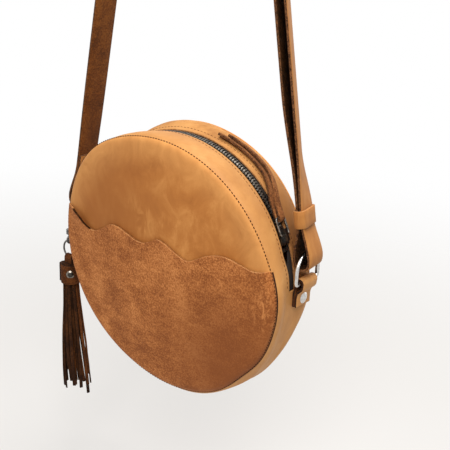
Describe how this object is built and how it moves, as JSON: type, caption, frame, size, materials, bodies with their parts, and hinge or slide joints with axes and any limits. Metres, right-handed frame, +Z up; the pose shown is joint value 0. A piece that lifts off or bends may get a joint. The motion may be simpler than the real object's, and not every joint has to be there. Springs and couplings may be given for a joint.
{
  "type": "circle bag",
  "caption": "Round leather crossbody bag with a wavy slip pocket, a metal zip over the top, a long doubled strap on D-rings and a clipped-on fringe tassel.",
  "frame": {"origin": "where the strap hangs: the inside of its bend at the top, on its centre line", "axes": "+Z up along the hanging strap, -Y out of the pocket's face, +X towards the zip's closed end"},
  "size_m": [0.2471, 0.0703, 0.7356],
  "materials": {
    "panel_leather": "tan nubuck with a soft mottled nap",
    "pocket_suede": "reddish brown suede",
    "side_leather": "tan nubuck",
    "tab_leather": "tan nubuck, raw cut edges",
    "strap_leather": "tan grain outside, dark flesh side inside",
    "thong_leather": "tan leather, raw fuzzy edges",
    "tassel_suede": "dark chocolate suede",
    "zip_tape": "dark woven tape",
    "zip_metal": "antique nickel",
    "ring_chrome": "polished nickel",
    "clasp_metal": "dark gunmetal"
  },
  "bodies": {
    "strap": {"strap": "strap_leather", "strap_keeper": "strap_leather", "strap_studs": "ring_chrome"},
    "bag": {"front_panel": "panel_leather", "front_pocket": "pocket_suede", "rear_panel": "panel_leather", "front_zip_placket": "side_leather", "rear_zip_placket": "side_leather", "bottom_gusset": "side_leather", "zip_tape_front": "zip_tape", "zip_tape_rear": "zip_tape", "zip_teeth_front": "zip_metal", "zip_teeth_rear": "zip_metal", "zip_stops": "zip_metal", "left_tab": "tab_leather", "right_tab": "tab_leather", "left_tab_rivet": "ring_chrome", "right_tab_rivet": "ring_chrome"},
    "left_ring": {"left_ring": "ring_chrome"},
    "right_ring": {"right_ring": "ring_chrome"},
    "slider": {"slider_body": "zip_metal"},
    "pull": {"pull_ring": "zip_metal", "pull_thong": "thong_leather"},
    "clasp": {"clasp_body": "clasp_metal"},
    "trigger": {"clasp_trigger": "clasp_metal"},
    "swivel": {"clasp_swivel": "clasp_metal"},
    "split_ring": {"split_ring": "clasp_metal"},
    "tassel": {"tassel_loop": "tassel_suede", "tassel_wrap": "tassel_suede", "tassel_rivet": "ring_chrome", "tassel_fringe": "tassel_suede"}
  },
  "joints": [
    {"name": "bag_swing", "type": "hinge", "parent": "strap", "child": "bag", "pos_m": [0, 0.005, -0.554], "axis": [0.999, 0.0452, 0], "range_deg": [-25, 25]},
    {"name": "left_ring_rock", "type": "hinge", "parent": "bag", "child": "left_ring", "pos_m": [-0.1105, 0, -0.562], "axis": [0, 1, 0], "range_deg": [-2, 4]},
    {"name": "right_ring_rock", "type": "hinge", "parent": "bag", "child": "right_ring", "pos_m": [0.1105, 0.01, -0.562], "axis": [0, 1, 0], "range_deg": [-4, 2]},
    {"name": "zip_run", "type": "hinge", "parent": "bag", "child": "slider", "pos_m": [0, 0, -0.575], "axis": [0, -1, 0], "range_deg": [0, 120], "deforming": ["zip_teeth_front", "zip_teeth_rear"]},
    {"name": "pull_lift", "type": "hinge", "parent": "slider", "child": "pull", "pos_m": [0.09626, 0, -0.52805], "axis": [0, -1, 0], "range_deg": [-15, 0]},
    {"name": "clasp_swing", "type": "hinge", "parent": "bag", "child": "clasp", "pos_m": [-0.1105, -0.0113, -0.562], "axis": [0, 1, 0], "range_deg": [0, 45]},
    {"name": "bolt_pull", "type": "slide", "parent": "clasp", "child": "trigger", "axis": [0, 0, -1], "range_m": [0, 0.004], "stiffness_N_per_m": 400, "springref_m": -0.003},
    {"name": "swivel_turn", "type": "hinge", "parent": "clasp", "child": "swivel", "pos_m": [-0.1156, -0.0113, -0.5832], "axis": [0, 0, 1], "continuous": true},
    {"name": "split_ring_swing", "type": "hinge", "parent": "swivel", "child": "split_ring", "pos_m": [-0.1156, -0.0113, -0.5862], "axis": [0, 1, 0], "range_deg": [-10, 30]},
    {"name": "tassel_swing", "type": "hinge", "parent": "split_ring", "child": "tassel", "pos_m": [-0.1156, -0.0113, -0.6003], "axis": [1, 0, 0], "range_deg": [-22, 22]}
  ]
}
